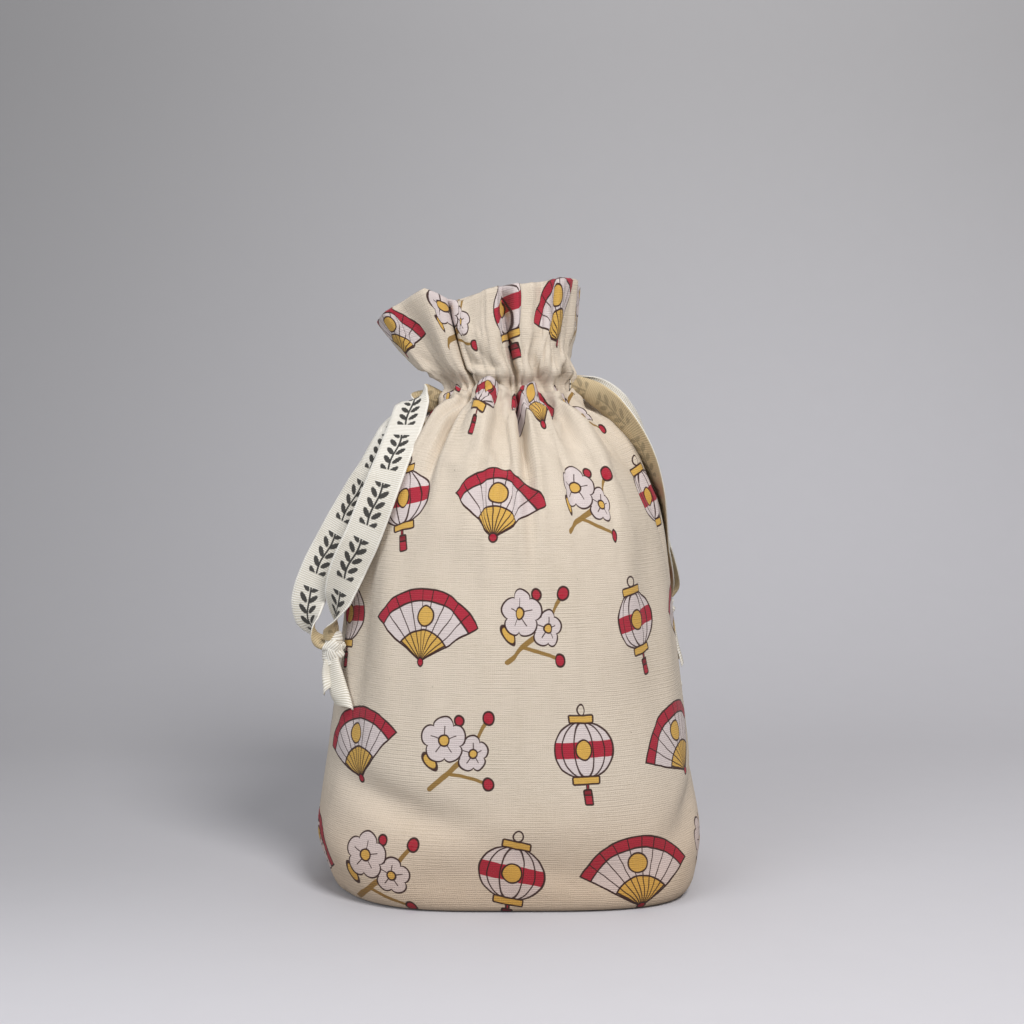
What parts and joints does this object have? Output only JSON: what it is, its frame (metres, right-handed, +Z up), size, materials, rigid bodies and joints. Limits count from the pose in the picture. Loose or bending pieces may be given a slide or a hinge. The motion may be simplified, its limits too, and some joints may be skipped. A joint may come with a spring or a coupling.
{
  "type": "kinchaku drawstring pouch",
  "caption": "Filled cloth drawstring pouch, gathered at the neck by knotted ribbon drawstrings in a sewn casing, with a frilled heading above a full rounded body.",
  "frame": {"origin": "on the table under the middle of the pouch's body", "axes": "+Z up through the neck, -Y out of the front panel, +X towards the right side seam seen from the front"},
  "size_m": [0.1698, 0.132, 0.2508],
  "materials": {
    "canvas": "matt printed cotton canvas",
    "ribbon": "ribbed grosgrain with a faint sheen"
  },
  "bodies": {
    "root": {"front_panel": "canvas", "back_panel": "canvas", "left_drawstring_band": "ribbon", "right_drawstring_band": "ribbon", "left_drawstring_front_strand": "ribbon", "left_drawstring_back_strand": "ribbon", "left_drawstring_knot": "ribbon", "left_drawstring_long_tail": "ribbon", "left_drawstring_short_tail": "ribbon", "right_drawstring_front_strand": "ribbon", "right_drawstring_back_strand": "ribbon", "right_drawstring_knot": "ribbon", "right_drawstring_long_tail": "ribbon", "right_drawstring_short_tail": "ribbon"}
  },
  "joints": []
}
